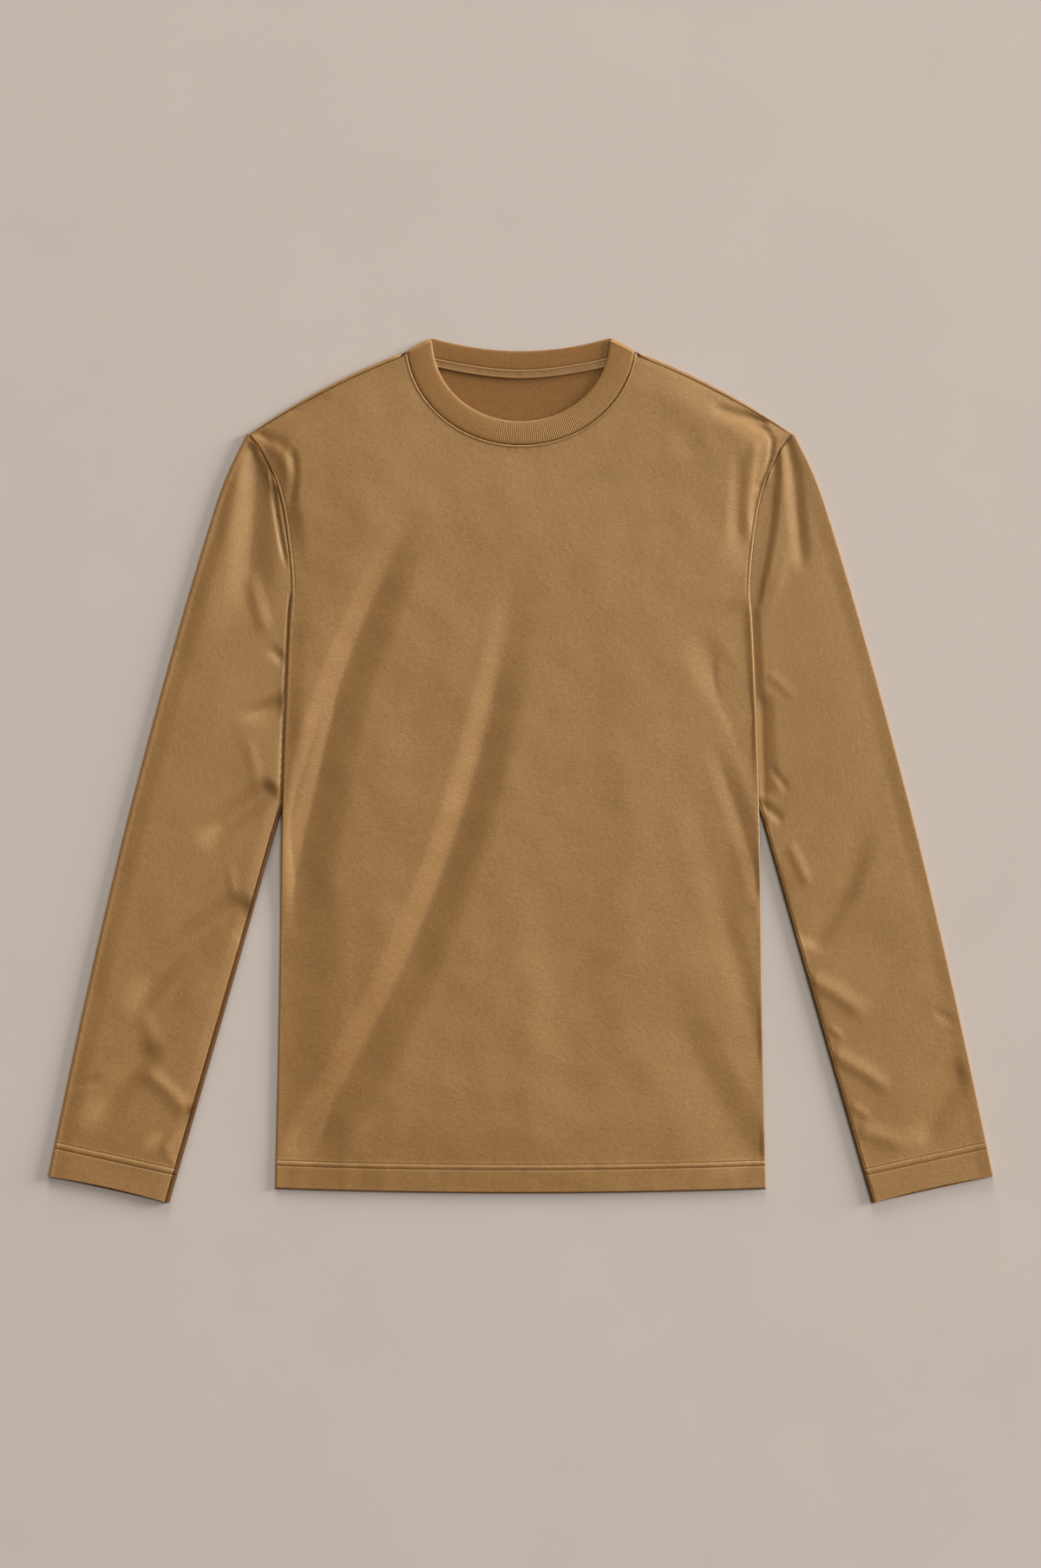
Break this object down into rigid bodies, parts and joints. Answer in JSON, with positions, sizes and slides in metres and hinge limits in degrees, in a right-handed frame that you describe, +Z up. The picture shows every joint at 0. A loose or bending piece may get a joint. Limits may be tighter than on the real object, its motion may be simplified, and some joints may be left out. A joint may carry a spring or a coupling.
{
  "type": "long-sleeve t-shirt",
  "caption": "Plain crew-neck t-shirt with long sleeves, laid out flat with its front up, with a ribbed neckband, neck tape and stitched hems.",
  "frame": {"origin": "middle of the laid-out shirt's box, on the surface that it lies on", "axes": "+X towards the wearer's left sleeve, across the shirt; +Y from the hem to the neck; +Z up out of the shirt's front"},
  "size_m": [0.8058, 0.7371, 0.0073],
  "materials": {
    "jersey": "smooth cotton jersey with a soft satin sheen",
    "rib": "fine one by one cotton rib",
    "tape": "narrow jersey tape, stitched down"
  },
  "bodies": {
    "root": {"back": "jersey", "front": "jersey", "sleeve_right": "jersey", "sleeve_left": "jersey", "neckband": "rib", "neck_tape": "tape"}
  },
  "joints": []
}
